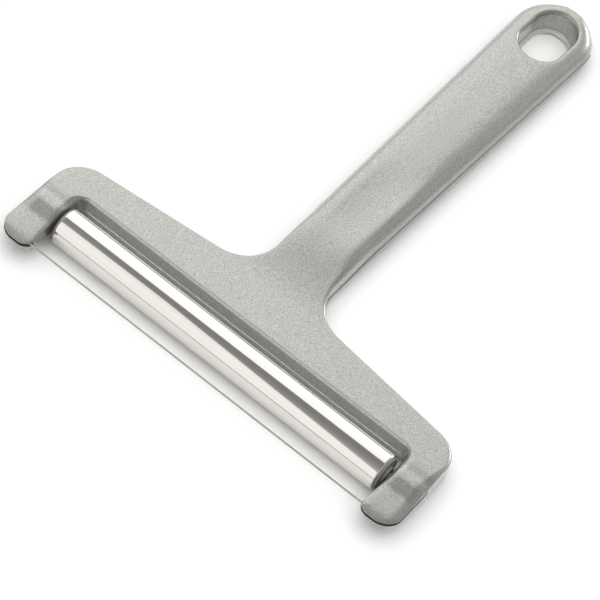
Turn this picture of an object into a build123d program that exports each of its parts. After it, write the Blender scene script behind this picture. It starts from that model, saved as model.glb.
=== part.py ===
from build123d import *
import os
from math import acos, atan2, cos, degrees, hypot, sin, tan

# Roller cheese slicer: a cast aluminium handle with two arms, a steel roller between the arms
# and a cutting wire stretched across their tips. It lies flat on a table, on the roller and on
# the underside of the handle.
# X runs along the roller, Y from the arm tips to the end of the handle, Z up from the table.
# The origin is on the table, under the middle of the whole tool. Lengths are in millimetres.

os.makedirs("parts", exist_ok=True)

# Whole tool
total_length = 173.6
head_width = 129.0
cut_overrun = 5.0

# Casting, seen from above
shoulder_inset = 0.5
arm_width = 10.3
arm_reach = 21.9
arm_tip_outer_share = 0.56
arm_tip_inner_share = 0.29
window_corner_radius = 2.5
bar_end_depth = 10.0
bar_middle_depth = 18.1
shoulder_radius = 9.8
arm_side_radius = 65.0
neck_radius = 11.8
neck_width = 17.9
neck_setback = 49.0
grip_end_radius = 11.25

# Casting, seen from the side: heights above the table, from the arm tips back
nose_thickness = 2.7
arm_step_height = 8.3
arm_hump_height = 9.25
arm_root_height = 9.05
bar_front_height = 9.1
bar_rear_height = 7.15
grip_front_height = 9.65
grip_end_height = 8.55
lip_height = 5.3
arm_belly_height = 1.65
bar_belly_height = 0.75
arm_top_shares = (0.215, 0.44, 0.648, 0.8, 0.92)
arm_belly_share = 0.69
groove_share = 0.685
grip_start_setback = 62.6
upper_edge_radius = 1.5
lower_edge_radius = 1.0
upper_edge_share = 0.56
lower_edge_share = 0.38

# Thumb hollow on top of the handle
hollow_length = 46.0
hollow_width = 14.0
hollow_depth = 0.9
hollow_grip_distance = 16.4

# Hang slot at the end of the handle
slot_length = 19.8
slot_width = 12.9
slot_end_wall = 4.8
slot_rim_radius = 1.0

# Roller: a thin tube with a bush pressed into each end
roller_diameter = 10.84
roller_end_gap = 1.5
roller_bar_gap = 2.6
roller_wall = 0.6
roller_rim_radius = 0.4
bush_plug_length = 9.0
bush_flange_step = 0.77
bush_flange_share = 0.37
bush_collar_diameter = 5.0
bush_collar_gap = 0.3

# Axle: a plain rod with both ends pressed into blind holes in the arms
axle_diameter = 2.4
axle_running_clearance = 0.05
axle_grip_depth = 3.0
axle_hole_spare = 0.5

# Cutting wire, its groove round each arm tip and its crimped sleeves
wire_diameter = 0.5
wire_bend_radius = 2.8
groove_height = 0.95
groove_depth = 2.2
groove_length = 17.5
sleeve_length = 3.0
sleeve_end_gap = 1.0
sleeve_side_clearance = 0.05

# The share of a face's normal that points up or down tells tops and bottoms from upright walls
slope_share = 0.5
upright_share = 0.05

# How far a corner or an edge may lie from a named place and still be picked by it
pick_margin = 0.25

# Places that follow from the sizes
front = -total_length / 2
back = total_length / 2
arm_outer = head_width / 2
arm_inner = arm_outer - arm_width
arm_tip_outer_radius = arm_width * arm_tip_outer_share
arm_tip_inner_radius = arm_width * arm_tip_inner_share
shoulder_x = arm_outer - shoulder_inset
slot_y = back - slot_end_wall - slot_length / 2
bar_front = front + arm_reach
bar_rear = bar_front + bar_middle_depth
roller_radius = roller_diameter / 2
roller_y = bar_front - roller_bar_gap - roller_radius
roller_z = roller_radius
roller_length = 2 * (arm_inner - roller_end_gap)
bush_flange_diameter = roller_diameter - 2 * bush_flange_step
bush_flange_thickness = roller_end_gap * bush_flange_share
grip_start = front + grip_start_setback
nose_height = lip_height + nose_thickness
wire_height = lip_height + nose_thickness * groove_share
wire_radius = wire_diameter / 2
wire_y = front + groove_depth - wire_radius
wire_leg_x = arm_outer - groove_depth + wire_radius
groove_end = front + groove_length
sleeve_diameter = groove_height - 2 * sleeve_side_clearance
sleeve_rear = groove_end - sleeve_end_gap
sleeve_front = sleeve_rear - sleeve_length
pocket_wall_x = wire_leg_x - sleeve_diameter / 2 - sleeve_side_clearance
pocket_front = sleeve_front - sleeve_end_gap
axle_hole_depth = axle_grip_depth + axle_hole_spare
axle_length = 2 * (arm_inner + axle_grip_depth)

# The edges of the casting are rounded as named, or less where the arm tips are too thin for it
top_rounding = min(upper_edge_radius, nose_thickness * upper_edge_share)
bottom_rounding = min(lower_edge_radius, nose_thickness * lower_edge_share)
stock_height = grip_front_height + bar_front_height

# The sides of the handle are tangents to its round end that pass the neck at its width
end_centre_y = back - grip_end_radius
neck_half = neck_width / 2
neck_y = front + neck_setback
neck_drop = end_centre_y - neck_y
side_angle = acos(grip_end_radius / hypot(neck_half, neck_drop)) - atan2(neck_drop, neck_half)
side_top_x = grip_end_radius * cos(side_angle)
side_top_y = end_centre_y + grip_end_radius * sin(side_angle)
side_foot_y = bar_front + bar_end_depth
side_foot_x = side_top_x + (side_top_y - side_foot_y) * tan(side_angle)

# The flat of the crossbar's top starts on the arms and ends before the handle rises
arm_top_y = [front + arm_reach * share for share in arm_top_shares]
arm_belly_y = front + arm_reach * arm_belly_share
bar_flat_start = arm_top_y[-1]
bar_flat_end = bar_rear - arm_width / 2
bar_slope = (bar_rear_height - bar_front_height) / (bar_flat_end - bar_flat_start)
grip_slope = (grip_end_height - grip_front_height) / (back - grip_start)
belly_slope = (lip_height - arm_belly_height) / arm_reach


def corners_at(sketch, x, y):
    """The corners of a sketch near (x, y), and their mirror images at the other side"""
    near_x = sketch.vertices().filter_by(lambda v: abs(abs(v.X) - x) < pick_margin)
    return near_x.filter_by(lambda v: abs(v.Y - y) < pick_margin)


# Casting: the plan outline and the side outline are each made solid, and what they share is kept
with BuildSketch(Plane.XY) as plan:
    with BuildLine():
        Polyline(
            (0, bar_front),
            (arm_inner, bar_front),
            (arm_inner, front),
            (arm_outer, front),
            (arm_outer, roller_y),
            (shoulder_x, side_foot_y),
            (0, bar_rear),
            (0, bar_front),
        )
    make_face()
    with BuildLine():
        Line((0, back), (0, side_foot_y))
        Line((0, side_foot_y), (side_foot_x, side_foot_y))
        Line((side_foot_x, side_foot_y), (side_top_x, side_top_y))
        CenterArc((0, end_centre_y), grip_end_radius, degrees(side_angle), 90 - degrees(side_angle))
    make_face()
    mirror(about=Plane.YZ)
    fillet(corners_at(plan, shoulder_x, side_foot_y), shoulder_radius)
    fillet(corners_at(plan, arm_outer, front), arm_tip_outer_radius)
    fillet(corners_at(plan, arm_inner, front), arm_tip_inner_radius)
    fillet(corners_at(plan, arm_inner, bar_front), window_corner_radius)
    fillet(corners_at(plan, arm_outer, roller_y), arm_side_radius)
    corners = plan.vertices().filter_by(lambda v: side_foot_y < v.Y < neck_y)
    fillet(corners.filter_by(lambda v: neck_half / 2 < abs(v.X) < neck_width), neck_radius)

with BuildSketch(Plane.YZ) as side:
    with BuildLine():
        Spline(
            (front, nose_height),
            (arm_top_y[0], nose_height),
            (arm_top_y[1], arm_step_height),
            (arm_top_y[2], arm_hump_height),
            (arm_top_y[3], arm_root_height),
            (bar_flat_start, bar_front_height),
            tangents=[(1, 0), (1, bar_slope)],
        )
        Line((bar_flat_start, bar_front_height), (bar_flat_end, bar_rear_height))
        Spline(
            (bar_flat_end, bar_rear_height),
            (grip_start, grip_front_height),
            tangents=[(1, bar_slope), (1, grip_slope)],
        )
        Line((grip_start, grip_front_height), (back, grip_end_height))
        Line((back, grip_end_height), (back, 0))
        Line((back, 0), (neck_y, 0))
        Spline(
            (neck_y, 0),
            (bar_front, bar_belly_height),
            (arm_belly_y, arm_belly_height),
            (front, lip_height),
            tangents=[(-1, 0), (-1, belly_slope)],
        )
        Line((front, lip_height), (front, nose_height))
    make_face()

# Round each arm tip runs a groove for the wire, with a deeper pocket at its end for the sleeve
with BuildSketch(Plane.XY.offset(wire_height - groove_height / 2)) as grooves:
    with BuildLine():
        Polyline(
            (arm_inner - cut_overrun, front - cut_overrun),
            (arm_outer + cut_overrun, front - cut_overrun),
            (arm_outer + cut_overrun, groove_end),
            (pocket_wall_x, groove_end),
            (pocket_wall_x, pocket_front),
            (arm_outer - groove_depth, pocket_front),
            (arm_outer - groove_depth, front + groove_depth),
            (arm_inner - cut_overrun, front + groove_depth),
            close=True,
        )
    make_face()
    bends = corners_at(grooves, arm_outer - groove_depth, front + groove_depth)
    fillet(bends, wire_bend_radius - wire_radius)
    mirror(about=Plane.YZ)

# The thumb hollow is cut by a long barrel whose belly dips below the top of the handle. Its side is
# an arc that clears the top at half the hollow's length each way, so it is about four times as
# high at the whole length
hollow_y = grip_start + hollow_grip_distance
hollow_top = grip_front_height + grip_slope * hollow_grip_distance
barrel_radius = (hollow_width ** 2 / 4 + hollow_depth ** 2) / (2 * hollow_depth)
barrel_belly = hollow_top - hollow_depth
barrel_axis = barrel_belly + barrel_radius
barrel_rise = 4 * hollow_depth
with BuildSketch(Plane.YZ) as barrel_half:
    with BuildLine():
        ThreePointArc(
            (hollow_y - hollow_length, barrel_belly + barrel_rise),
            (hollow_y, barrel_belly),
            (hollow_y + hollow_length, barrel_belly + barrel_rise),
        )
        Polyline(
            (hollow_y + hollow_length, barrel_belly + barrel_rise),
            (hollow_y + hollow_length, barrel_axis),
            (hollow_y - hollow_length, barrel_axis),
            (hollow_y - hollow_length, barrel_belly + barrel_rise),
        )
    make_face()

with BuildPart() as cast_body:
    extrude(plan.sketch, amount=stock_height)
    extrude(side.sketch, amount=head_width, both=True, mode=Mode.INTERSECT)
    walls = cast_body.faces().filter_by(lambda f: abs(f.normal_at().Z) < upright_share)
    tops = cast_body.faces().filter_by(lambda f: f.normal_at().Z > slope_share)
    fillet(tops.edges() & walls.edges(), top_rounding)
    walls = cast_body.faces().filter_by(lambda f: abs(f.normal_at().Z) < upright_share)
    bottoms = cast_body.faces().filter_by(lambda f: f.normal_at().Z < -slope_share)
    fillet(bottoms.edges() & walls.edges(), bottom_rounding)
    with BuildSketch(Plane.XY.offset(-cut_overrun)):
        with Locations((0, slot_y)):
            SlotOverall(slot_length, slot_width, rotation=90)
    extrude(amount=stock_height + cut_overrun, mode=Mode.SUBTRACT)
    rims = cast_body.edges().filter_by(lambda e: abs(e.center().X) < slot_width / 2)
    rims = rims.filter_by(lambda e: abs(e.center().Y - slot_y) < slot_length / 2 + pick_margin)
    rims = rims.filter_by(lambda e: abs(e.center().Z - grip_end_height / 2) > grip_end_height / 3)
    fillet(rims, slot_rim_radius)
    revolve(barrel_half.sketch, axis=Axis((0, 0, barrel_axis), (0, 1, 0)), mode=Mode.SUBTRACT)
    extrude(grooves.sketch, amount=groove_height, mode=Mode.SUBTRACT)
    with BuildSketch(Plane.YZ.offset(-arm_inner - axle_hole_depth)):
        with Locations((roller_y, roller_z)):
            Circle(axle_diameter / 2)
    extrude(amount=2 * (arm_inner + axle_hole_depth), mode=Mode.SUBTRACT)
cast_body.part.label = "cast_body"
export_step(cast_body.part, "parts/cast_body.step")

# Roller tube, turned on the axle's line, with its two rims rounded over
with BuildPart() as roller_tube:
    with BuildSketch(Plane.YZ.offset(-roller_length / 2)):
        with Locations((roller_y, roller_z)):
            Circle(roller_radius)
            Circle(roller_radius - roller_wall, mode=Mode.SUBTRACT)
    extrude(amount=roller_length)
    rims = roller_tube.edges().filter_by(GeomType.CIRCLE)
    fillet(rims.filter_by(lambda e: e.radius > roller_radius - roller_wall / 2), roller_rim_radius)
roller_tube.part.label = "roller_tube"
export_step(roller_tube.part, "parts/roller_tube.step")


def roller_bush(name, side):
    """One moulded bush: a plug in the tube, a flange outside it and a collar towards the arm"""
    with BuildPart() as bush:
        with BuildSketch(Plane.YZ.offset(side * (roller_length / 2 - bush_plug_length))):
            with Locations((roller_y, roller_z)):
                Circle(roller_radius - roller_wall)
        extrude(amount=side * bush_plug_length)
        with BuildSketch(Plane.YZ.offset(side * roller_length / 2)):
            with Locations((roller_y, roller_z)):
                Circle(bush_flange_diameter / 2)
        extrude(amount=side * bush_flange_thickness)
        with BuildSketch(Plane.YZ.offset(side * (roller_length / 2 + bush_flange_thickness))):
            with Locations((roller_y, roller_z)):
                Circle(bush_collar_diameter / 2)
        extrude(amount=side * (arm_inner - bush_collar_gap - roller_length / 2 - bush_flange_thickness))
        with BuildSketch(Plane.YZ):
            with Locations((roller_y, roller_z)):
                Circle(axle_diameter / 2 + axle_running_clearance)
        extrude(amount=side * head_width, mode=Mode.SUBTRACT)
    bush.part.label = name
    export_step(bush.part, f"parts/{name}.step")
    return bush


roller_bush("roller_bush_left", -1)
roller_bush("roller_bush_right", 1)

# Axle: a little shorter than the holes in the arms are deep
with BuildPart() as roller_axle:
    with BuildSketch(Plane.YZ.offset(-axle_length / 2)):
        with Locations((roller_y, roller_z)):
            Circle(axle_diameter / 2)
    extrude(amount=axle_length)
roller_axle.part.label = "roller_axle"
export_step(roller_axle.part, "parts/roller_axle.step")

# Cutting wire: straight between the arms, bent round both tips and led back to the sleeves
with BuildPart() as cutting_wire:
    with BuildLine():
        FilletPolyline(
            (-wire_leg_x, sleeve_rear, wire_height),
            (-wire_leg_x, wire_y, wire_height),
            (wire_leg_x, wire_y, wire_height),
            (wire_leg_x, sleeve_rear, wire_height),
            radius=wire_bend_radius,
        )
    with BuildSketch(Plane((-wire_leg_x, sleeve_rear, wire_height), x_dir=(1, 0, 0), z_dir=(0, -1, 0))):
        Circle(wire_radius)
    sweep()
cutting_wire.part.label = "cutting_wire"
export_step(cutting_wire.part, "parts/cutting_wire.step")


def wire_sleeve(name, side):
    """One crimped sleeve on the end of the wire"""
    with BuildPart() as sleeve:
        with BuildSketch(Plane.XZ.offset(-sleeve_front)):
            with Locations((side * wire_leg_x, wire_height)):
                Circle(sleeve_diameter / 2)
                Circle(wire_radius, mode=Mode.SUBTRACT)
        extrude(amount=-sleeve_length)
    sleeve.part.label = name
    export_step(sleeve.part, f"parts/{name}.step")
    return sleeve


wire_sleeve("wire_sleeve_left", -1)
wire_sleeve("wire_sleeve_right", 1)
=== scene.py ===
from math import acos, atan2, ceil, cos, hypot, pi, radians, sin, sqrt, tan

import bpy
import numpy as np
from mathutils import Matrix, Vector
from mathutils.geometry import delaunay_2d_cdt


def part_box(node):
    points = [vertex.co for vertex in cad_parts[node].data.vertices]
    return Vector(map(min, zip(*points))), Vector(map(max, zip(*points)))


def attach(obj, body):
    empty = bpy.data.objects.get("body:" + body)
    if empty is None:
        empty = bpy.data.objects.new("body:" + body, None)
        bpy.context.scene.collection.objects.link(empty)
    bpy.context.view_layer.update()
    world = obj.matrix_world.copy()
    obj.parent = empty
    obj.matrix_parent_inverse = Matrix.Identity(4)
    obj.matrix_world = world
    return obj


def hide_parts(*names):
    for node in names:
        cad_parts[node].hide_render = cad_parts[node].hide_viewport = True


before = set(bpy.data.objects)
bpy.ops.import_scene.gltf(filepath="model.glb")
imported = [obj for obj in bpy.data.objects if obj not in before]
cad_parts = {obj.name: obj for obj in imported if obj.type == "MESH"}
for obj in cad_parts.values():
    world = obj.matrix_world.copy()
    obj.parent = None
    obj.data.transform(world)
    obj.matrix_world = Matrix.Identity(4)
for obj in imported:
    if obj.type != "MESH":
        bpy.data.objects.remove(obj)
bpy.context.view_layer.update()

mm = 0.001

# A gap too narrow to see
hair = 0.02 * mm

# Places read from the frame
body_low, body_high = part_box("cast_body")
tube_low, tube_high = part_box("roller_tube")
wire_low, wire_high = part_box("cutting_wire")
bush_low, bush_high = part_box("roller_bush_right")
front = body_low.y
back = body_high.y
arm_outer = body_high.x
roller_radius = (tube_high.z - tube_low.z) / 2
roller_length = tube_high.x - tube_low.x
roller_y = (tube_low.y + tube_high.y) / 2
roller_z = (tube_low.z + tube_high.z) / 2
wire_radius = (wire_high.z - wire_low.z) / 2
wire_z = (wire_low.z + wire_high.z) / 2
wire_leg_x = wire_high.x - wire_radius
wire_y = wire_low.y + wire_radius
wire_end_y = wire_high.y

# Casting seen from above, measured back from the arm tips
seam_height = 0.06 * mm
half_width = arm_outer - seam_height
arm_width = 10.6 * mm
arm_inner = arm_outer - arm_width
bar_front = front + 21.9 * mm
side_turn_y = front + 13.9 * mm
shoulder_x = half_width - 0.5 * mm
shoulder_y = front + 31.7 * mm
bar_rear = front + 39.6 * mm
grip_neck_half = 9.6 * mm
grip_neck_y = front + 49.0 * mm
grip_end_radius = 11.7 * mm
outer_tip_radius = 5.3 * mm
inner_tip_radius = 3.0 * mm
window_radius = 1.8 * mm
side_turn_radius = 65.0 * mm
shoulder_radius = 9.0 * mm
neck_radius = 11.8 * mm

# Steps between the points of the outline, on bends and on straight runs
bend_step = 0.4 * mm
straight_step = 0.9 * mm

# Spacing of the points that fill the top and the underside, finer as far as the crossbar's front; they
# keep a share of it off the rims
top_spacing = 1.15 * mm
top_fine_spacing = 0.55 * mm
under_spacing = 2.4 * mm
under_fine_spacing = 1.6 * mm
fine_until_y = bar_front + 3 * mm
rim_room_share = 0.55

# Edges that turn more sharply than this stay crisp
casting_crisp_angle = radians(38)
turned_crisp_angle = radians(40)

# Heights of the top along the tool: distance behind the arm tips and height above the table
top_course = (
    (-2.0 * mm, 6.95 * mm),
    (0.2 * mm, 7.55 * mm),
    (2.5 * mm, 8.02 * mm),
    (4.3 * mm, 8.14 * mm),
    (9.4 * mm, 8.27 * mm),
    (13.7 * mm, 9.30 * mm),
    (14.8 * mm, 9.31 * mm),
    (16.9 * mm, 9.03 * mm),
    (19.1 * mm, 9.27 * mm),
    (21.1 * mm, 9.10 * mm),
    (36.0 * mm, 7.12 * mm),
)
top_softness = 0.6 * mm

# The underside, the same way
under_course = (
    (-2.0 * mm, 5.60 * mm),
    (0.0 * mm, 5.30 * mm),
    (11.2 * mm, 2.40 * mm),
    (15.1 * mm, 1.60 * mm),
    (21.0 * mm, 0.85 * mm),
    (36.0 * mm, 0.22 * mm),
    (49.0 * mm, 0.0 * mm),
    (300.0 * mm, 0.0 * mm),
)
under_softness = 2.4 * mm

# The handle rises out of the crossbar and then slopes gently down to its end
rise_start = front + 36.0 * mm
rise_end = front + 63.0 * mm
bar_end_slope = -0.133
rise_top = 9.67 * mm
grip_end_height = 9.3 * mm
crown_height = 1.35 * mm
crown_flat = 2.2 * mm
crown_start = front + 44.0 * mm
crown_full = front + 66.0 * mm

# Thumb hollow on the handle
hollow_y = front + 74.5 * mm
hollow_half_length = 25.0 * mm
hollow_depth = 0.5 * mm
hollow_share = 0.62
hollow_full_share = 0.15
hollow_softness = 0.05 * mm

# Where the edges change their form, from the arms to the crossbar and from there to the handle
arm_edge_end = front + 18.5 * mm
bar_edge_start = front + 22.5 * mm
grip_edge_start = front + 46.0 * mm
grip_edge_full = front + 70.0 * mm
bevel_fade_start = front + 14.0 * mm
bevel_fade_end = front + 25.0 * mm
level_rim_end = front + 11.0 * mm
bar_rim_start = front + 24.0 * mm

# Rounding of the edges: across the surface and down the wall
bar_round = 1.0 * mm
grip_round = 3.0 * mm
grip_under_round = 2.9 * mm
tip_side_round = 2.6 * mm
tip_bevel_share = 0.5
tip_drop_limit = 2.0 * mm
bevel_knee = 0.3
tip_front_round = 0.5 * mm
tip_inner_round = 2.3 * mm
under_round = 1.0 * mm
under_rise_share = 0.72
edge_floor = 0.12 * mm
top_edge_shares = (0, 0.14, 0.28, 0.42, 0.56, 0.7, 0.85, 1)
under_edge_shares = (1, 0.82, 0.64, 0.46, 0.3, 0.15, 0)
wall_draft = 0.03
bar_lean = 0.05
arm_lean = 0.2
under_draft = 0.3
grip_draft_cut_share = 0.4

# Seam of the mould: half its height, its place as a share of the casting's height, how many seam halves
# above it the plain wall ends, how much less proud it is on the arms, and its lip, which fades out
seam_half = 0.16 * mm
seam_share = 0.45
grip_seam_rise_share = 0.22
wall_foot_halves = 1.6
arm_seam_cut_share = 0.7
lip_width = 0.2 * mm
lip_full_x = arm_inner - 4.0 * mm
lip_fade_y = back - 5.0 * mm
lip_end_y = back - 1.0 * mm

# The lip's section: height in seam halves and share of its width
lip_section = (
    (1, 0),
    (0.3, 0.85),
    (-0.2, 1),
    (-1, 1),
)

# Wire groove round the arm tips
groove_top = 7.5 * mm
groove_foot = 6.25 * mm
groove_depth = 2.2 * mm
groove_pocket = 2.5 * mm
groove_step = 0.01 * mm
groove_end_band = 0.05 * mm
groove_end_y = front + 16.2 * mm
groove_mouth_y = front + 2.9 * mm
pocket_start = front + 8.0 * mm
pocket_full = front + 11.0 * mm

# The wall's rings at the groove: share of the plain wall, level beside the wire and whether it is cut
groove_section = (
    (0.2, groove_top, 0),
    (0.4, groove_top, 1),
    (0.6, groove_foot, 1),
    (0.8, groove_foot, 0),
)

# Hang hole
hole_y = front + 159.0 * mm
hole_half_length = 9.9 * mm
hole_half_width = 6.5 * mm
hole_round = 1.05 * mm
hole_edge_shares = (0, 0.2, 0.4, 0.6, 0.8, 1)
hole_seam = 1.75 * mm
hole_ledge = 0.9 * mm
hole_foot = 0.65 * mm
hole_foot_inset = 0.6 * mm - hole_ledge

# The hang hole's wall from its seam down, as inset and height: the trimmed ledge stands into the hole,
# and the foot rounds back to the table
hole_section = (
    (0.0 * mm, hole_seam + seam_half),
    (-0.15 * mm, hole_seam),
    (-0.9 * hole_ledge, hole_seam - 0.55 * mm),
    (-hole_ledge, hole_seam - 0.75 * mm),
    (hole_foot_inset, hole_foot),
    (hole_foot_inset + 0.08 * mm, 0.45 * mm),
    (hole_foot_inset + 0.2 * mm, 0.15 * mm),
    (hole_foot_inset + 0.35 * mm, 0.03 * mm),
    (hole_foot_inset + 0.5 * mm, 0.0 * mm),
)


def ease(low, high, value):
    """0 before low, 1 after high and a smooth step between them"""
    t = np.clip((np.asarray(value, float) - low) / (high - low), 0, 1)
    return t * t * (3 - 2 * t)


def soft_course(course, softness, distance):
    """Height at a distance along a course of straight runs whose corners are rounded by averaging"""
    samples = 21
    distances, heights = zip(*course)
    offsets = np.linspace(-1, 1, samples)
    weights = np.cos(offsets * pi / 2) ** 2
    distance = np.asarray(distance, float)
    total = sum(w * np.interp(distance + o * softness, distances, heights) for w, o in zip(weights, offsets))
    return total / weights.sum()


# Handle side: a line from the neck to where it meets the round end
end_centre_y = back - seam_height - grip_end_radius
neck_drop = end_centre_y - grip_neck_y
side_angle = acos(grip_end_radius / hypot(grip_neck_half, neck_drop)) - atan2(neck_drop, grip_neck_half)
side_top_x = grip_end_radius * cos(side_angle)
side_top_y = end_centre_y + grip_end_radius * sin(side_angle)


def grip_half_width(y):
    """Half the handle's width at y, out of the round end"""
    short_of_end = 0.999
    side = side_top_x + (side_top_y - y) * tan(side_angle)
    over = np.clip(y - end_centre_y, 0, grip_end_radius * short_of_end)
    tip = np.sqrt(grip_end_radius ** 2 - over ** 2)
    return np.minimum(side, tip)


def top_height(x, y):
    """Height of the casting's top before its edges are rounded"""
    bar = soft_course(top_course, top_softness, np.minimum(y, rise_start) - front)
    grip_slope = (grip_end_height - rise_top) / (back - rise_end)
    # A cubic joins the two, with their heights and slopes at its ends
    span = rise_end - rise_start
    t = np.clip((y - rise_start) / span, 0, 1)
    bar_end_height = top_course[-1][1]
    rise = (2 * t ** 3 - 3 * t ** 2 + 1) * bar_end_height + (t ** 3 - 2 * t ** 2 + t) * span * bar_end_slope
    rise = rise + (3 * t ** 2 - 2 * t ** 3) * rise_top + (t ** 3 - t ** 2) * span * grip_slope
    grip = rise_top + grip_slope * (y - rise_end)
    height = np.where(y < rise_start, bar, np.where(y < rise_end, rise, grip))
    half = grip_half_width(y)
    crown = crown_height * ease(crown_start, crown_full, y)
    domed = height - crown * (np.clip(np.abs(x) - crown_flat, 0, None) / (half - crown_flat)) ** 2
    # The thumb hollow is a shallow trough whose rims meet the domed top along two soft ridges
    rim = hollow_share * half
    rim_height = height - crown * ((rim - crown_flat) / (half - crown_flat)) ** 2
    trough = rim_height - hollow_depth * (1 - (x / rim) ** 2)
    lower = -hollow_softness * np.logaddexp(-domed / hollow_softness, -trough / hollow_softness)
    hollow = 1 - ease(hollow_full_share, 1.0, np.abs(y - hollow_y) / hollow_half_length)
    return domed + (lower - domed) * hollow


def under_height(x, y):
    """Height of the casting's underside before its edges are rounded"""
    return soft_course(under_course, under_softness, y - front)


def arc_run(centre, radius, start, end, step):
    """Points and outward normals along an arc; the outline turns round it the positive way or back"""
    count = max(3, ceil(abs(end - start) * radius / step))
    angles = np.linspace(start, end, count + 1)
    spokes = np.stack([np.cos(angles), np.sin(angles)], 1)
    outward = spokes if end > start else -spokes
    return np.array(centre) + radius * spokes, outward


def line_run(start, end, step):
    """Points and outward normals along a straight run, without its ends"""
    start, end = np.array(start), np.array(end)
    length = np.linalg.norm(end - start)
    count = max(1, ceil(length / step))
    shares = np.arange(1, count)[:, None] / count
    along = (end - start) / length
    normals = np.repeat([[along[1], -along[0]]], count - 1, 0)
    return start + (end - start) * shares, normals


def rounded_run(corners):
    """Points and outward normals along a run of corners, each given as x, y and radius"""
    points, normals = [], []
    last = np.array(corners[0][:2])
    for before, here, after in zip(corners, corners[1:], corners[2:]):
        corner = np.array(here[:2])
        to_before = np.array(before[:2]) - corner
        to_after = np.array(after[:2]) - corner
        to_before /= np.linalg.norm(to_before)
        to_after /= np.linalg.norm(to_after)
        half_turn = acos(float(to_before @ to_after)) / 2
        reach = here[2] / tan(half_turn)
        middle = to_before + to_after
        centre = corner + middle / np.linalg.norm(middle) * here[2] / sin(half_turn)
        first = corner + to_before * reach - centre
        final = corner + to_after * reach - centre
        start = atan2(first[1], first[0])
        turn = (atan2(final[1], final[0]) - start + pi) % (2 * pi) - pi
        for run in (line_run(last, centre + first, straight_step),
                    arc_run(centre, here[2], start, start + turn, bend_step)):
            points.append(run[0])
            normals.append(run[1])
        last = centre + final
    run = line_run(last, corners[-1][:2], straight_step)
    return np.concatenate(points + [run[0]]), np.concatenate(normals + [run[1]])


def casting_outline():
    """The casting's plan outline as a closed loop of points with outward normals"""
    bar_angle = atan2(bar_rear - shoulder_y, -shoulder_x)
    side_lean = tan(side_angle)
    # The rear edge of the crossbar meets the handle's side where both lines have the same x
    rear_slope = tan(bar_angle)
    side_foot = side_top_x + side_top_y * side_lean
    neck_corner_x = (side_foot - bar_rear * side_lean) / (1 + rear_slope * side_lean)
    neck_corner_y = bar_rear + rear_slope * neck_corner_x
    corners = (
        (0, bar_front, 0),
        (arm_inner, bar_front, window_radius),
        (arm_inner, front + seam_height, inner_tip_radius),
        (half_width, front + seam_height, outer_tip_radius),
        (half_width, side_turn_y, side_turn_radius),
        (shoulder_x, shoulder_y, shoulder_radius),
        (neck_corner_x, neck_corner_y, neck_radius),
        (side_top_x, side_top_y, 0),
    )
    points, normals = rounded_run(corners)
    tip_points, tip_normals = arc_run((0, end_centre_y), grip_end_radius, side_angle, pi / 2, bend_step)
    points = np.concatenate([[[0, bar_front]], points, tip_points])
    normals = np.concatenate([[[0, -1]], normals, tip_normals])
    mirror = np.array([-1, 1])
    points = np.concatenate([points, points[-2:0:-1] * mirror])
    normals = np.concatenate([normals, normals[-2:0:-1] * mirror])
    return add_groove_ends(points, normals)


def add_groove_ends(points, normals):
    """Puts two points close together where the wire groove starts and ends on each arm"""
    out_points, out_normals = [], []
    count = len(points)
    for i in range(count):
        here, after = points[i], points[(i + 1) % count]
        out_points.append(here)
        out_normals.append(normals[i])
        on_arm = abs(here[0]) > arm_inner - hair and here[1] < bar_front
        inner_side = abs(here[0]) < arm_inner + inner_tip_radius
        cut = groove_mouth_y if inner_side else groove_end_y
        if on_arm and (here[1] - cut) * (after[1] - cut) < 0:
            for offset in (-hair, hair):
                share = (cut - here[1]) / (after[1] - here[1]) + offset / np.linalg.norm(after - here)
                out_points.append(here + (after - here) * share)
                out_normals.append(normals[i] * (1 - share) + normals[(i + 1) % count] * share)
    return np.array(out_points), np.array(out_normals)


def in_groove(x, y):
    """Whether a point of the outline lies where the wire groove is cut"""
    inner_side = np.abs(x) < arm_inner + inner_tip_radius
    end = np.where(inner_side, groove_mouth_y, groove_end_y)
    return (np.abs(x) > arm_inner - mm) & (y < end)


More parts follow.
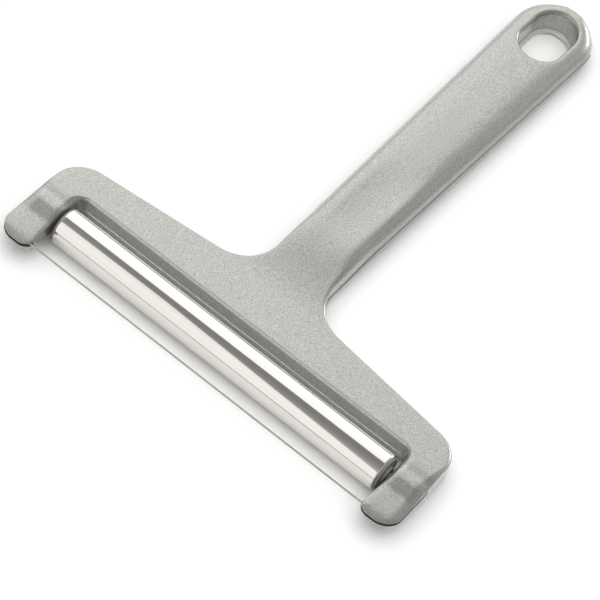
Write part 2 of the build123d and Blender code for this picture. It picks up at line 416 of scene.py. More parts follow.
def casting_rings(points, normals):
    """The rings of the casting's wall from the top's rim to the underside's rim: inset and height"""
    x, y = points.T
    side = np.sign(x)
    on_arm = 1 - ease(arm_edge_end, bar_edge_start, y)
    outward = np.clip(normals[:, 0] * side, 0, 1) ** 2
    inward = np.clip(-normals[:, 0] * side, 0, 1) ** 2
    forward = np.clip(-normals[:, 1], 0, 1) ** 2
    on_grip = ease(grip_edge_start, grip_edge_full, y)
    top_run = bar_round + (grip_round - bar_round) * on_grip
    arm_run = inward * tip_inner_round + forward * tip_front_round + outward * bar_round
    top_run = top_run + (arm_run - top_run) * on_arm
    lean = wall_draft + arm_lean * inward * on_arm + bar_lean * forward * (1 - on_arm)
    groove = in_groove(x, y)

    top = top_height(x, y)
    under = under_height(x, y)
    seam_z = under + (seam_share + grip_seam_rise_share * on_grip) * (top - under)
    wall_top = np.where(y < groove_end_y, groove_top + edge_floor, seam_z + 2 * seam_half)
    top_drop = np.clip(top - wall_top, edge_floor, np.maximum(top_run, edge_floor))

    # The outer side of each arm falls away in a broad soft bevel, down to a level rim over the groove
    beside = outward * (1 - ease(bevel_fade_start, bevel_fade_end, y))
    to_bar = ease(level_rim_end, bar_rim_start, y)
    rim_z = (groove_top + edge_floor) * (1 - to_bar) + (top - bar_round) * to_bar
    top_drop = top_drop + (np.clip(top - rim_z, edge_floor, tip_drop_limit) - top_drop) * beside
    top_run = top_run + (tip_side_round - top_run) * beside
    bevel = tip_bevel_share * top_drop * beside
    top_drop = top_drop - bevel
    lean_angle = np.arctan(lean)
    rings = []

    # The rounding stops where its own slope reaches that of the wall
    turn = pi / 2 - lean_angle
    wall_start_z = top - bevel - top_drop * (1 - np.cos(turn))
    wall_start = lean * np.maximum(wall_start_z - seam_z, 0)
    for share in top_edge_shares:
        angle = turn * share
        inset = wall_start + top_run * (np.sin(turn) - np.sin(angle))
        xy = points - normals * inset[:, None]
        across = np.sin(angle) / np.sin(turn)
        bevel_drop = bevel * (1 + bevel_knee) * across ** 2 / (across + bevel_knee)
        drop = top_drop * (1 - np.cos(angle)) + bevel_drop
        rings.append((inset, top_height(xy[:, 0], xy[:, 1]) - drop))

    # Wall above the seam, where the wire groove is cut on the arm tips
    start_z = rings[-1][1]
    depth = groove_depth + (groove_pocket - groove_depth) * ease(pocket_start, pocket_full, y)
    end_gap = np.minimum(np.abs(y - groove_end_y), np.abs(y - groove_mouth_y))
    held = groove | ((end_gap < groove_end_band) & (np.abs(x) > arm_inner - mm))
    for share, level, cut in groove_section:
        free_z = start_z + (seam_z + wall_foot_halves * seam_half - start_z) * share
        z = np.where(held, np.minimum(level, start_z - hair), free_z)
        wall = lean * np.maximum(z - seam_z, 0)
        inset = np.where(groove & (cut > 0), depth, wall + cut * groove_step)
        rings.append((inset, z))

    # Seam: the lower half of the mould is slightly wider and leaves a narrow lip that catches the light
    # along the handle and the crossbar; it fades out before the arms and before the handle's end
    lip = 1 - ease(lip_full_x, arm_inner, np.abs(x))
    lip = lip * (1 - ease(lip_fade_y, lip_end_y, y))
    proud = seam_height * (1 - on_arm * arm_seam_cut_share) + lip_width * lip
    for level, share in lip_section:
        rings.append((-proud * share, seam_z + level * seam_half))

    # Wall below the seam and the rounded lower edge
    low_run = under_round + (grip_under_round - under_round) * on_grip
    low_rise = np.minimum(low_run, (seam_z - under) * under_rise_share)
    draft = under_draft * (1 - grip_draft_cut_share * on_grip) * (seam_z - under - low_rise)
    for share in under_edge_shares:
        angle = pi / 2 * share
        inset = low_run * (1 - np.sin(angle)) + draft - proud
        xy = points - normals * inset[:, None]
        rings.append((inset, under_height(xy[:, 0], xy[:, 1]) + low_rise * (1 - np.cos(angle))))
    return rings


def hole_outline():
    """The hang hole's outline as a closed loop; normals point into the hole"""
    straight = hole_half_length - hole_half_width
    runs = [
        arc_run((0, hole_y + straight), hole_half_width, 0, pi, bend_step),
        line_run((-hole_half_width, hole_y + straight), (-hole_half_width, hole_y - straight), straight_step),
        arc_run((0, hole_y - straight), hole_half_width, pi, 2 * pi, bend_step),
        line_run((hole_half_width, hole_y - straight), (hole_half_width, hole_y + straight), straight_step),
    ]
    points = np.concatenate([r[0] for r in runs])
    normals = -np.concatenate([r[1] for r in runs])
    return points, normals


def hole_rings(points, normals):
    """Rings of the hang hole's wall from the top's rim to the underside's rim"""
    rings = []
    x = points[:, 0]
    for share in hole_edge_shares:
        angle = pi / 2 * share
        inset = hole_round * (1 - np.sin(angle))
        xy = points - normals * inset
        z = top_height(xy[:, 0], xy[:, 1]) - hole_round * (1 - np.cos(angle))
        rings.append((np.full(len(x), inset), z))
    wall_end = rings[-1][1]
    rings.append((np.zeros(len(x)), (wall_end + hole_seam) / 2))
    for inset, z in hole_section:
        rings.append((np.full(len(x), inset), np.full(len(x), z)))
    return rings


def inside(loop, points):
    """Whether each point lies inside a closed loop"""
    x, y = points[:, 0][:, None], points[:, 1][:, None]
    ax, ay = loop.T
    bx, by = np.roll(loop, -1, 0).T
    crosses = (ay > y) != (by > y)
    with np.errstate(divide="ignore", invalid="ignore"):
        at = ax + (y - ay) * (bx - ax) / (by - ay)
    return (np.sum(crosses & (x < at), 1) % 2) == 1


def nearest(loop, points):
    """Distance from each point to the nearest point of a loop"""
    batch = 2000
    found = np.full(len(points), np.inf)
    for start in range(0, len(points), batch):
        part = points[start:start + batch]
        gaps = np.hypot(part[:, None, 0] - loop[None, :, 0], part[:, None, 1] - loop[None, :, 1])
        found[start:start + batch] = gaps.min(1)
    return found


def cap(rim, hole, spacing, fine_spacing):
    """Points and triangles that fill a rim but leave the hole open"""
    merge_gap = 1e-5
    fill = []
    low, high = rim.min(0), rim.max(0)
    for step, row_start, row_end in ((fine_spacing, low[1], fine_until_y), (spacing, fine_until_y, high[1])):
        row_step = step * sqrt(3) / 2
        for k, y in enumerate(np.arange(row_start + row_step / 2, row_end, row_step)):
            xs = np.arange(low[0] + (k % 2) * step / 2, high[0], step)
            row = np.stack([xs, np.full(len(xs), y)], 1)
            room = np.full(len(xs), rim_room_share * step)
            fill.append(np.concatenate([row, room[:, None]], 1))
    fill = np.concatenate(fill)
    keep = inside(rim, fill[:, :2]) & ~inside(hole, fill[:, :2])
    fill = fill[keep]
    clear = np.minimum(nearest(rim, fill[:, :2]), nearest(hole, fill[:, :2])) > fill[:, 2]
    fill = fill[clear][:, :2]
    flat = np.concatenate([rim, hole, fill])
    edges = [(i, (i + 1) % len(rim)) for i in range(len(rim))]
    edges += [(len(rim) + i, len(rim) + (i + 1) % len(hole)) for i in range(len(hole))]
    made = delaunay_2d_cdt([Vector(p / mm) for p in flat], edges, [], 0, merge_gap)
    if len(made[0]) != len(flat):
        raise ValueError("the rim crosses itself")
    origin = [where[0] for where in made[3]]
    faces = np.array([[origin[i] for i in f] for f in made[2]])
    middles = flat[faces].mean(1)
    faces = faces[inside(rim, middles) & ~inside(hole, middles)]
    a, b, c = flat[faces[:, 0]], flat[faces[:, 1]], flat[faces[:, 2]]
    turn = (b[:, 0] - a[:, 0]) * (c[:, 1] - a[:, 1]) - (b[:, 1] - a[:, 1]) * (c[:, 0] - a[:, 0])
    faces[turn < 0] = faces[turn < 0][:, ::-1]
    return fill, faces


def wall_faces(start, count, rings, inward):
    """Four-sided faces between rings of the same count of points"""
    faces = []
    for r in range(rings - 1):
        upper, lower = start + r * count, start + (r + 1) * count
        for i in range(count):
            j = (i + 1) % count
            face = (upper + i, lower + i, lower + j, upper + j)
            faces.append(face[::-1] if inward else face)
    return faces


def casting():
    """The cast body: wall rings round the outline and the hole, with filled tops and undersides"""
    rim_points, rim_normals = casting_outline()
    hole_points, hole_normals = hole_outline()
    vertices, faces = [], []
    loops = {}
    for name, points, normals, rings, inward in (
        ("rim", rim_points, rim_normals, casting_rings(rim_points, rim_normals), False),
        ("hole", hole_points, hole_normals, hole_rings(hole_points, hole_normals), True),
    ):
        start = len(vertices)
        for inset, z in rings:
            xy = points - normals * inset[:, None]
            vertices.extend(np.concatenate([xy, z[:, None]], 1))
        faces.extend(wall_faces(start, len(points), len(rings), inward))
        last = start + (len(rings) - 1) * len(points)
        loops[name] = {"top": start, "under": last, "count": len(points)}
    every = np.array(vertices)
    for which, height, spacing, fine in (
        ("top", top_height, top_spacing, top_fine_spacing),
        ("under", under_height, under_spacing, under_fine_spacing),
    ):
        rim_start, rim_count = loops["rim"][which], loops["rim"]["count"]
        hole_start, hole_count = loops["hole"][which], loops["hole"]["count"]
        rim = every[rim_start:rim_start + rim_count, :2]
        hole = every[hole_start:hole_start + hole_count, :2]
        fill, triangles = cap(rim, hole, spacing, fine)
        index = np.concatenate([
            np.arange(rim_start, rim_start + rim_count),
            np.arange(hole_start, hole_start + hole_count),
            np.arange(len(vertices), len(vertices) + len(fill)),
        ])
        vertices.extend(np.concatenate([fill, height(fill[:, 0], fill[:, 1])[:, None]], 1))
        triangles = index[triangles]
        faces.extend(map(tuple, triangles if which == "top" else triangles[:, ::-1]))
    mesh = bpy.data.meshes.new("cast_handle_and_arms")
    mesh.from_pydata([tuple(map(float, v)) for v in vertices], [], [tuple(map(int, f)) for f in faces])
    mesh.validate()
    mesh.polygons.foreach_set("use_smooth", [True] * len(mesh.polygons))
    mesh.set_sharp_from_angle(angle=casting_crisp_angle)
    return place(mesh)


def place(mesh):
    """A new object for a mesh that already lies where it belongs"""
    piece = bpy.data.objects.new(mesh.name, mesh)
    bpy.context.scene.collection.objects.link(piece)
    return piece


def node(tree, kind, inputs=None, **settings):
    """Adds a node with its settings; an input is a value or the output socket that feeds it"""
    made = tree.nodes.new(kind)
    for name, value in settings.items():
        setattr(made, name, value)
    for name, value in (inputs or {}).items():
        if isinstance(value, bpy.types.NodeSocket):
            tree.links.new(value, made.inputs[name])
        else:
            made.inputs[name].default_value = value
    return made


def linear(code):
    """Linear colour from an sRGB hex code"""
    values = [int(code[i:i + 2], 16) / 255 for i in (1, 3, 5)]
    return tuple(v / 12.92 if v <= 0.04045 else ((v + 0.055) / 1.055) ** 2.4 for v in values) + (1,)


def new_material(name):
    """An empty node material and its tree"""
    material = bpy.data.materials.new(name)
    material.use_nodes = True
    material.node_tree.nodes.clear()
    return material, material.node_tree


# Nearly all values of a noise lie between these two
noise_low = 0.3
noise_high = 0.7


def sprayed_cast_aluminium():
    """Aluminium cast in a mould, blasted and sprayed with silver lacquer: a soft sheen with a fine
    sparkle of metal flakes, a faint orange-peel and small sharp glints on tight edges; painted shade
    darkens the lower part of the handle's sides; painted light gives the shaded faces in the bay behind
    the roller and on the trimmed ledge in the hang hole a lighter, matt colour that keeps them light"""
    # The real flakes are far finer; they are drawn as coarse as they need to be to show
    flake = 0.34 * mm
    peel = 1.1 * mm
    cloud = 14 * mm
    dull_roughness = 0.5
    flake_roughness = 0.38
    lacquer_metallic = 0.94
    # Painted light: the shaded bay wall and hang-hole ledge get a matt finish that takes the fill
    painted_light_metallic = 0.1
    # Painted shade, darker on the lower part of the handle's sides: full below the first height and gone
    # above the second, and it sets in along the neck
    low_shade_full_z = 6.4 * mm
    low_shade_end_z = 7.1 * mm
    low_shade_share = 0.42
    neck_shade_share = 0.1
    # Reach round the hang hole, measured with the hole's width stretched to its length
    hole_reach = 12.3 * mm
    hole_reach_end = 13.0 * mm
    # Painted light, a lighter matt colour on shaded faces: the front wall of the crossbar between the arms
    # and the ledge in the hang hole
    bay_full_x = arm_inner - 2.0 * mm
    bay_end_x = arm_inner - 0.3 * mm
    bay_wall_end_y = bar_front + 1.2 * mm
    bay_light_share = 0.85
    ledge_end_z = hole_seam + 0.2 * mm
    ledge_light_share = 0.9
    material, tree = new_material("sprayed_cast_aluminium")
    place_in_piece = node(tree, "ShaderNodeTexCoord").outputs["Object"]
    flakes = node(tree, "ShaderNodeTexNoise", {
        "Vector": place_in_piece, "Scale": 1 / flake, "Detail": 2.0, "Roughness": 0.7})
    clouds = node(tree, "ShaderNodeTexNoise", {
        "Vector": place_in_piece, "Scale": 1 / cloud, "Detail": 2.0})
    peels = node(tree, "ShaderNodeTexNoise", {
        "Vector": place_in_piece, "Scale": 1 / peel, "Detail": 1.0})
    speck = node(tree, "ShaderNodeMapRange", {
        "Value": flakes.outputs["Fac"], "From Min": noise_low, "From Max": noise_high,
        "To Min": 0.0, "To Max": 1.0})
    shade = node(tree, "ShaderNodeMix", {
        "Factor": speck.outputs["Result"], "A": linear("#8D8D87"), "B": linear("#BFBFB9")}, data_type="RGBA")
    drift = node(tree, "ShaderNodeMapRange", {
        "Value": clouds.outputs["Fac"], "From Min": noise_low, "From Max": noise_high,
        "To Min": 0.0, "To Max": 0.1})
    tone = node(tree, "ShaderNodeMix", {
        "Factor": drift.outputs["Result"], "A": shade.outputs["Result"], "B": linear("#9A9A94")},
        data_type="RGBA")
    gloss = node(tree, "ShaderNodeMapRange", {
        "Value": flakes.outputs["Fac"], "From Min": noise_low, "From Max": noise_high,
        "To Min": dull_roughness, "To Max": flake_roughness})
    rough_bump = node(tree, "ShaderNodeBump", {
        "Height": flakes.outputs["Fac"], "Strength": 0.22, "Distance": 0.05 * mm})
    peel_bump = node(tree, "ShaderNodeBump", {
        "Height": peels.outputs["Fac"], "Strength": 0.25, "Distance": 0.03 * mm,
        "Normal": rough_bump.outputs["Normal"]})
    position = node(tree, "ShaderNodeSeparateXYZ", {"Vector": place_in_piece})
    edge = node(tree, "ShaderNodeMapRange", {
        "Value": position.outputs["Z"], "From Min": low_shade_full_z, "From Max": low_shade_end_z,
        "To Min": low_shade_share, "To Max": 0.0})
    along = node(tree, "ShaderNodeMapRange", {
        "Value": position.outputs["Y"], "From Min": grip_neck_y, "From Max": rise_end,
        "To Min": neck_shade_share})
    from_hole = node(tree, "ShaderNodeVectorMath", {
        0: place_in_piece, 1: (0, hole_y, 0)}, operation="SUBTRACT")
    stretched = node(tree, "ShaderNodeVectorMath", {
        0: from_hole.outputs["Vector"], 1: (hole_half_length / hole_half_width, 1, 0)}, operation="MULTIPLY")
    reach = node(tree, "ShaderNodeVectorMath", {0: stretched.outputs["Vector"]}, operation="LENGTH")
    outside_hole = node(tree, "ShaderNodeMapRange", {
        "Value": reach.outputs["Value"], "From Min": hole_reach, "From Max": hole_reach_end})
    low_side_shade = node(tree, "ShaderNodeMath", {
        0: edge.outputs["Result"], 1: along.outputs["Result"]}, operation="MULTIPLY")
    bare = node(tree, "ShaderNodeMath", {
        0: low_side_shade.outputs["Value"], 1: outside_hole.outputs["Result"]}, operation="MULTIPLY")
    # Painted shade: a dark grey mixed into the lower part of the handle's sides
    low_shaded_tone = node(tree, "ShaderNodeMix", {
        "Factor": bare.outputs["Value"], "A": tone.outputs["Result"], "B": linear("#4E4D4A")},
        data_type="RGBA")
    aside = node(tree, "ShaderNodeMath", {0: position.outputs["X"]}, operation="ABSOLUTE")
    between_arms = node(tree, "ShaderNodeMapRange", {
        "Value": aside.outputs["Value"], "From Min": bay_full_x, "From Max": bay_end_x,
        "To Min": bay_light_share, "To Max": 0.0})
    behind_roller = node(tree, "ShaderNodeMapRange", {
        "Value": position.outputs["Y"], "From Min": bar_front, "From Max": bay_wall_end_y,
        "To Min": 1.0, "To Max": 0.0})
    bay = node(tree, "ShaderNodeMath", {
        0: between_arms.outputs["Result"], 1: behind_roller.outputs["Result"]}, operation="MULTIPLY")
    trim = node(tree, "ShaderNodeMapRange", {
        "Value": position.outputs["Z"], "From Min": hole_seam, "From Max": ledge_end_z,
        "To Min": ledge_light_share, "To Max": 0.0})
    inside_hole = node(tree, "ShaderNodeMath", {
        0: 1.0, 1: outside_hole.outputs["Result"]}, operation="SUBTRACT")
    trimmed = node(tree, "ShaderNodeMath", {
        0: trim.outputs["Result"], 1: inside_hole.outputs["Value"]}, operation="MULTIPLY")
    painted_light_mask = node(tree, "ShaderNodeMath", {
        0: bay.outputs["Value"], 1: trimmed.outputs["Value"]}, operation="MAXIMUM")
    # Painted light: a pale colour on the shaded bay wall and hang-hole ledge, kept grainy by the flakes
    painted_light_tone = node(tree, "ShaderNodeMix", {
        "Factor": speck.outputs["Result"], "A": linear("#B6B6B0"), "B": linear("#EEEEE8")}, data_type="RGBA")
    finish = node(tree, "ShaderNodeMix", {
        "Factor": painted_light_mask.outputs["Value"], "A": low_shaded_tone.outputs["Result"], "B": painted_light_tone.outputs["Result"]},
        data_type="RGBA")
    metal = node(tree, "ShaderNodeMapRange", {
        "Value": painted_light_mask.outputs["Value"], "To Min": lacquer_metallic, "To Max": painted_light_metallic})
    shader = node(tree, "ShaderNodeBsdfPrincipled", {
        "Base Color": finish.outputs["Result"], "Metallic": metal.outputs["Result"],
        "Roughness": gloss.outputs["Result"],
        "Coat Weight": 1.0, "Coat Roughness": 0.07, "Normal": peel_bump.outputs["Normal"]})
    node(tree, "ShaderNodeOutputMaterial", {"Surface": shader.outputs["BSDF"]})
    return material


def polished_steel_tube():
    """Stainless tube, drawn and then polished along its length: a mirror with faint lengthwise lines"""
    # The real lines are finer; they are drawn as coarse as they need to be to show
    line = 0.45 * mm
    line_length = 60 * mm
    material, tree = new_material("polished_steel_tube")
    place_in_piece = node(tree, "ShaderNodeTexCoord").outputs["Object"]
    lengthwise = node(tree, "ShaderNodeMapping", {
        "Vector": place_in_piece, "Scale": (1 / line_length, 1 / line, 1 / line)})
    lines = node(tree, "ShaderNodeTexNoise", {
        "Vector": lengthwise.outputs["Vector"], "Scale": 1.0, "Detail": 3.0, "Roughness": 0.6})
    shade = node(tree, "ShaderNodeMix", {
        "Factor": lines.outputs["Fac"], "A": linear("#CFCCC7"), "B": linear("#E0DDD8")}, data_type="RGBA")
    gloss = node(tree, "ShaderNodeMapRange", {
        "Value": lines.outputs["Fac"], "From Min": noise_low, "From Max": noise_high,
        "To Min": 0.05, "To Max": 0.12})
    bump = node(tree, "ShaderNodeBump", {
        "Height": lines.outputs["Fac"], "Strength": 0.06, "Distance": 0.02 * mm})
    shader = node(tree, "ShaderNodeBsdfPrincipled", {
        "Base Color": shade.outputs["Result"], "Metallic": 1.0, "Roughness": gloss.outputs["Result"],
        "Normal": bump.outputs["Normal"]})
    node(tree, "ShaderNodeOutputMaterial", {"Surface": shader.outputs["BSDF"]})
    return material


def moulded_nylon():
    """Nylon dyed mid grey and moulded: half matt, with the faint grain of the mould"""
    grain = 0.25 * mm
    material, tree = new_material("moulded_nylon")
    place_in_piece = node(tree, "ShaderNodeTexCoord").outputs["Object"]
    grains = node(tree, "ShaderNodeTexNoise", {
        "Vector": place_in_piece, "Scale": 1 / grain, "Detail": 2.0})
    shade = node(tree, "ShaderNodeMix", {
        "Factor": grains.outputs["Fac"], "A": linear("#706F6B"), "B": linear("#84837F")}, data_type="RGBA")
    bump = node(tree, "ShaderNodeBump", {
        "Height": grains.outputs["Fac"], "Strength": 0.15, "Distance": 0.02 * mm})
    shader = node(tree, "ShaderNodeBsdfPrincipled", {
        "Base Color": shade.outputs["Result"], "Roughness": 0.42, "IOR": 1.53,
        "Normal": bump.outputs["Normal"]})
    node(tree, "ShaderNodeOutputMaterial", {"Surface": shader.outputs["BSDF"]})
    return material


def drawn_steel(name, dark, light, line_size):
    """Stainless steel drawn through a die: grey with a slightly warm cast and fine lines along it,
    drawn as coarse as they need to be to show"""
    material, tree = new_material(name)
    place_in_piece = node(tree, "ShaderNodeTexCoord").outputs["Object"]
    stretched = node(tree, "ShaderNodeMapping", {
        "Vector": place_in_piece, "Scale": tuple(1 / size for size in line_size)})
    lines = node(tree, "ShaderNodeTexNoise", {
        "Vector": stretched.outputs["Vector"], "Scale": 1.0, "Detail": 2.0})
    shade = node(tree, "ShaderNodeMix", {
        "Factor": lines.outputs["Fac"], "A": linear(dark), "B": linear(light)}, data_type="RGBA")
    gloss = node(tree, "ShaderNodeMapRange", {
        "Value": lines.outputs["Fac"], "From Min": noise_low, "From Max": noise_high,
        "To Min": 0.22, "To Max": 0.36})
    shader = node(tree, "ShaderNodeBsdfPrincipled", {
        "Base Color": shade.outputs["Result"], "Metallic": 1.0, "Roughness": gloss.outputs["Result"]})
    node(tree, "ShaderNodeOutputMaterial", {"Surface": shader.outputs["BSDF"]})
    return material


cast_finish = sprayed_cast_aluminium()
tube_finish = polished_steel_tube()
bush_finish = moulded_nylon()
axle_finish = drawn_steel("drawn_steel_rod", "#8C8B87", "#B4B3AE", (8 * mm, 0.2 * mm, 0.2 * mm))
wire_finish = drawn_steel("drawn_steel_wire", "#8E8B80", "#B9B6A8", (6 * mm, 0.1 * mm, 0.1 * mm))
sleeve_finish = drawn_steel("crimped_steel", "#7E7D7A", "#A3A29E", (0.3 * mm, 3 * mm, 0.3 * mm))


def new_tree(name, named_inputs):
    """A geometry node tree with a geometry input and named inputs, each with its kind"""
    tree = bpy.data.node_groups.new(name, "GeometryNodeTree")
    tree.interface.new_socket("Geometry", in_out="INPUT", socket_type="NodeSocketGeometry")
    tree.interface.new_socket("Geometry", in_out="OUTPUT", socket_type="NodeSocketGeometry")
    for label, kind in named_inputs.items():
        tree.interface.new_socket(label, in_out="INPUT", socket_type=kind)
    return tree


def grown(name, curve_points, closed, tree, values):
    """Runs a node tree on a run of points and returns the result as a plain mesh piece"""
    data = bpy.data.curves.new(name, "CURVE")
    data.dimensions = "3D"
    spline = data.splines.new("POLY")
    spline.points.add(len(curve_points) - 1)
    for point, where in zip(spline.points, curve_points):
        point.co = (*where, 1)
    spline.use_cyclic_u = closed
    source = bpy.data.objects.new(name + "_source", data)
    bpy.context.scene.collection.objects.link(source)
    modifier = source.modifiers.new("grow", "NODES")
    modifier.node_group = tree
    sockets = {item.name: item.identifier for item in tree.interface.items_tree if item.in_out == "INPUT"}
    for label, value in values.items():
        modifier[sockets[label]] = value
    seen = source.evaluated_get(bpy.context.evaluated_depsgraph_get())
    mesh = bpy.data.meshes.new_from_object(seen)
    mesh.name = name
    bpy.data.objects.remove(source)
    mesh.set_sharp_from_angle(angle=turned_crisp_angle)
    return place(mesh)


def turned_tree():
    """Turns a section round the roller's line: the section is drawn as radius and place along X"""
    tree = new_tree("turned_part", {
        "Core Radius": "NodeSocketFloat",
        "Edge Rounding": "NodeSocketFloat",
        "Sides": "NodeSocketInt",
        "Axis Place": "NodeSocketVector",
        "Finish": "NodeSocketMaterial",
    })
    given = node(tree, "NodeGroupInput")
    rounded = node(tree, "GeometryNodeFilletCurve", {
        "Curve": given.outputs["Geometry"], "Radius": given.outputs["Edge Rounding"],
        "Limit Radius": True, "Count": 8}, mode="POLY")
    ring = node(tree, "GeometryNodeCurvePrimitiveCircle", {
        "Resolution": given.outputs["Sides"], "Radius": given.outputs["Core Radius"]})
    swept = node(tree, "GeometryNodeCurveToMesh", {
        "Curve": ring.outputs["Curve"], "Profile Curve": rounded.outputs["Curve"]})
    turned = node(tree, "GeometryNodeTransform", {
        "Geometry": swept.outputs["Mesh"], "Rotation": (0, pi / 2, 0),
        "Translation": given.outputs["Axis Place"]})
    smooth = node(tree, "GeometryNodeSetShadeSmooth", {"Geometry": turned.outputs["Geometry"]})
    real = node(tree, "GeometryNodeRealizeInstances", {"Geometry": smooth.outputs["Geometry"]})
    coated = node(tree, "GeometryNodeSetMaterial", {
        "Geometry": real.outputs["Geometry"], "Material": given.outputs["Finish"]})
    node(tree, "NodeGroupOutput", {"Geometry": coated.outputs["Geometry"]})
    return tree


def wire_tree():
    """A round wire along a run of corners, each bent to the same radius"""
    tree = new_tree("bent_wire", {
        "Bend Radius": "NodeSocketFloat",
        "Wire Radius": "NodeSocketFloat",
        "Sides": "NodeSocketInt",
        "Finish": "NodeSocketMaterial",
    })
    given = node(tree, "NodeGroupInput")
    bent = node(tree, "GeometryNodeFilletCurve", {
        "Curve": given.outputs["Geometry"], "Radius": given.outputs["Bend Radius"],
        "Limit Radius": True, "Count": 14}, mode="POLY")
    section = node(tree, "GeometryNodeCurvePrimitiveCircle", {
        "Resolution": given.outputs["Sides"], "Radius": given.outputs["Wire Radius"]})
    swept = node(tree, "GeometryNodeCurveToMesh", {
        "Curve": bent.outputs["Curve"], "Profile Curve": section.outputs["Curve"], "Fill Caps": True})
    smooth = node(tree, "GeometryNodeSetShadeSmooth", {"Geometry": swept.outputs["Mesh"]})
    real = node(tree, "GeometryNodeRealizeInstances", {"Geometry": smooth.outputs["Geometry"]})
    coated = node(tree, "GeometryNodeSetMaterial", {
        "Geometry": real.outputs["Geometry"], "Material": given.outputs["Finish"]})
    node(tree, "NodeGroupOutput", {"Geometry": coated.outputs["Geometry"]})
    return tree


body = casting()
body.data.materials.append(cast_finish)
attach(body, "body")
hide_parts("cast_body")

# Roller
roller_wall = 1.1 * mm
rim_rounding = 0.9 * mm
bush_bore = 1.25 * mm
flange_radius = (bush_high.z - bush_low.z) / 2
flange_thickness = 0.5 * mm
collar_radius = 2.5 * mm
bush_rounding = 0.15 * mm
turned_sides = 160
turned_part = turned_tree()
axis_place = (0, roller_y, roller_z)


def turned_piece(name, section, core, rounding, finish, body_name, nodes):
    """A piece turned from a section of (radius, place along X) corners"""
    corners = [(radius - core, along, 0) for radius, along in section]
    piece = grown(name, corners, True, turned_part, {
        "Core Radius": core, "Edge Rounding": rounding, "Sides": turned_sides,
        "Axis Place": axis_place, "Finish": finish})
    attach(piece, body_name)
    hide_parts(*nodes)


tube_end = roller_length / 2
tube_section = (
    (roller_radius - roller_wall, -tube_end),
    (roller_radius, -tube_end),
    (roller_radius, tube_end),
    (roller_radius - roller_wall, tube_end),
)
turned_piece("polished_roller_tube", tube_section, roller_radius - roller_wall, rim_rounding,
             tube_finish, "roller", ["roller_tube"])

for side_name, side in (("left", -1), ("right", 1)):
    node_name = "roller_bush_" + side_name
    low_corner, high_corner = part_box(node_name)
    collar_end = high_corner.x if side > 0 else low_corner.x
    plug_end = low_corner.x if side > 0 else high_corner.x
    flange_face = side * (tube_end + flange_thickness)
    bush_section = (
        (bush_bore, plug_end),
        (roller_radius - roller_wall, plug_end),
        (roller_radius - roller_wall, side * tube_end),
        (flange_radius, side * tube_end),
        (flange_radius, flange_face),
        (collar_radius, flange_face),
        (collar_radius, collar_end),
        (bush_bore, collar_end),
    )
    turned_piece("nylon_bush_" + side_name, bush_section, bush_bore, bush_rounding, bush_finish,
                 "roller", [node_name])

# Cutting wire: one straight run between the arm tips and a leg back along each arm
wire_bend_radius = 2.8 * mm
wire_sides = 16
wire_course = (
    (-wire_leg_x, wire_end_y, wire_z),
    (-wire_leg_x, wire_y, wire_z),
    (wire_leg_x, wire_y, wire_z),
    (wire_leg_x, wire_end_y, wire_z),
)
wire = grown("cutting_wire_drawn", wire_course, False, wire_tree(), {
    "Bend Radius": wire_bend_radius, "Wire Radius": wire_radius, "Sides": wire_sides,
    "Finish": wire_finish})
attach(wire, "body")
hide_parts("cutting_wire")

for node_name, finish in (("roller_axle", axle_finish), ("wire_sleeve_left", sleeve_finish),
                          ("wire_sleeve_right", sleeve_finish)):
    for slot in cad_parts[node_name].material_slots:
        slot.material = finish

# Camera, in metres, with its lens and sensor in millimetres as Blender takes them
camera_eye = Vector((0.18584, -0.46120, 0.61158))
camera_aim = Vector((0.00494, -0.04668, 0.005))
camera_roll = radians(18.0765)
camera_lens = 176.545
camera_sensor = 36
camera_near = 0.01
camera_far = 20


def make_camera():
    """The camera at the photograph's place, turned about its own line of sight"""
    data = bpy.data.cameras.new("camera")
    data.lens = camera_lens
    data.sensor_width = camera_sensor
    data.clip_start = camera_near
    data.clip_end = camera_far
    camera = bpy.data.objects.new("camera", data)
    bpy.context.scene.collection.objects.link(camera)
    forward = (camera_aim - camera_eye).normalized()
    level = forward.cross(Vector((0, 0, 1))).normalized()
    above = level.cross(forward)
    right = cos(camera_roll) * level + sin(camera_roll) * above
    up = cos(camera_roll) * above - sin(camera_roll) * level
    turn = Matrix((right, up, -forward)).transposed()
    camera.matrix_world = Matrix.Translation(camera_eye) @ turn.to_4x4()
    bpy.context.scene.camera = camera


make_camera()


def softbox(name, middle, across, upward, radiance):
    """A flat soft lamp round a middle point, with half its width and half its height as vectors; only
    glosses see it, so it draws the bright bands on the metal, and matt surfaces take the room's fill"""
    middle, across, upward = Vector(middle), Vector(across), Vector(upward)
    data = bpy.data.lights.new(name, "AREA")
    data.shape = "RECTANGLE"
    data.size = 2 * across.length
    data.size_y = 2 * upward.length
    data.energy = radiance * pi * data.size * data.size_y
    lamp = bpy.data.objects.new(name, data)
    bpy.context.scene.collection.objects.link(lamp)
    back_of_lamp = across.cross(upward).normalized()
    if back_of_lamp.dot(middle) < 0:
        across, back_of_lamp = -across, -back_of_lamp
    turn = Matrix((across.normalized(), upward.normalized(), back_of_lamp)).transposed()
    lamp.matrix_world = Matrix.Translation(middle) @ turn.to_4x4()
    lamp.visible_camera = False
    lamp.visible_diffuse = False


softbox("back_softbox", middle=(-0.97, 0.63, 0.68), across=(0.95, 0, 0),
        upward=(0, -0.51, 0.44), radiance=1.12)
softbox("back_lamp", middle=(0.36, 1.2, 0.3), across=(0.19, -0.057, 0),
        upward=(0, 0, 0.16), radiance=10.0)
softbox("front_softbox", middle=(-0.642, -1.0875, 0.232), across=(0.642, 0.208, 0.328),
        upward=(-0.4015, 0.3565, 0.56), radiance=0.78)


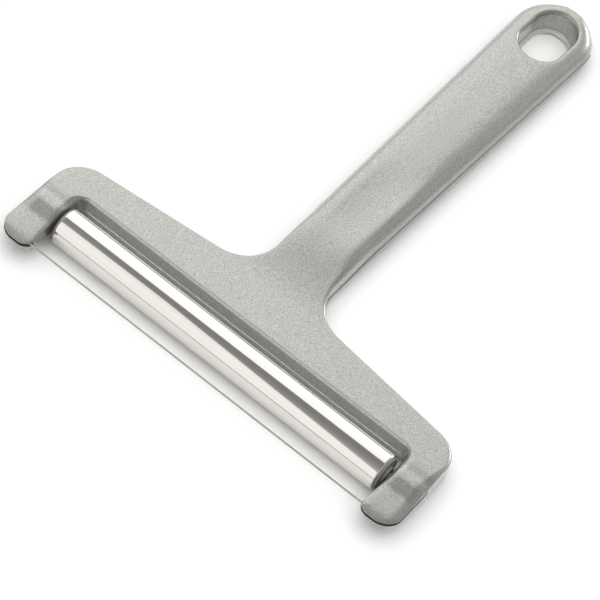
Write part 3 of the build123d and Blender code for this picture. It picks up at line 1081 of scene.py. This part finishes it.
def seamless_paper():
    """White paper sweep, matt: its fibres give a faint mottle, and it keeps the soft shadow"""
    # The real fibres are finer; their mottle is drawn as coarse as it needs to be to show
    fibre = 0.8 * mm
    material, tree = new_material("seamless_paper")
    place_in_piece = node(tree, "ShaderNodeTexCoord").outputs["Object"]
    fibres = node(tree, "ShaderNodeTexNoise", {
        "Vector": place_in_piece, "Scale": 1 / fibre, "Detail": 2.0})
    shade = node(tree, "ShaderNodeMix", {
        "Factor": fibres.outputs["Fac"], "A": linear("#F4F4F4"), "B": linear("#FAFAFA")}, data_type="RGBA")
    paper = node(tree, "ShaderNodeBsdfDiffuse", {"Color": shade.outputs["Result"]})
    node(tree, "ShaderNodeOutputMaterial", {"Surface": paper.outputs["BSDF"]})
    return material


floor_half = 3.0
floor_mesh = bpy.data.meshes.new("floor")
floor_corners = [(-floor_half, -floor_half, 0), (floor_half, -floor_half, 0),
                 (floor_half, floor_half, 0), (-floor_half, floor_half, 0)]
floor_mesh.from_pydata(floor_corners, [], [(0, 1, 2, 3)])
floor = place(floor_mesh)
floor.data.materials.append(seamless_paper())


def dim_studio():
    """The room round the lamps: dim where a gloss sees it, and darkest overhead; for matt surfaces it
    is a soft white ceiling that grows brighter upwards, which also draws the shadow on the floor"""
    # Heights on the sky are shares, 0 at the horizon and 1 overhead
    dimming_start = 0.7
    dimming_end = 0.97
    wall_level = 0.62
    overhead_level = 0.36
    ceiling_start = 0.35
    ceiling_level = 2.85
    world = bpy.data.worlds.new("dim_studio")
    world.use_nodes = True
    tree = world.node_tree
    tree.nodes.clear()
    upward = node(tree, "ShaderNodeSeparateXYZ", {
        "Vector": node(tree, "ShaderNodeTexCoord").outputs["Generated"]}).outputs["Z"]
    room = node(tree, "ShaderNodeMapRange", {
        "Value": upward, "From Min": dimming_start, "From Max": dimming_end,
        "To Min": wall_level, "To Max": overhead_level})
    path = node(tree, "ShaderNodeLightPath")
    fill = node(tree, "ShaderNodeMapRange", {
        "Value": upward, "From Min": ceiling_start, "From Max": 1.0,
        "To Min": 0.0, "To Max": ceiling_level})
    level = node(tree, "ShaderNodeMix", {
        "Factor": path.outputs["Is Diffuse Ray"], "A": room.outputs["Result"], "B": fill.outputs["Result"]})
    sky = node(tree, "ShaderNodeBackground", {"Strength": level.outputs["Result"]})
    node(tree, "ShaderNodeOutputWorld", {"Surface": sky.outputs["Background"]})
    world.cycles.sampling_method = "NONE"
    return world


bpy.context.scene.world = dim_studio()
bpy.context.scene.view_settings.view_transform = "Standard"
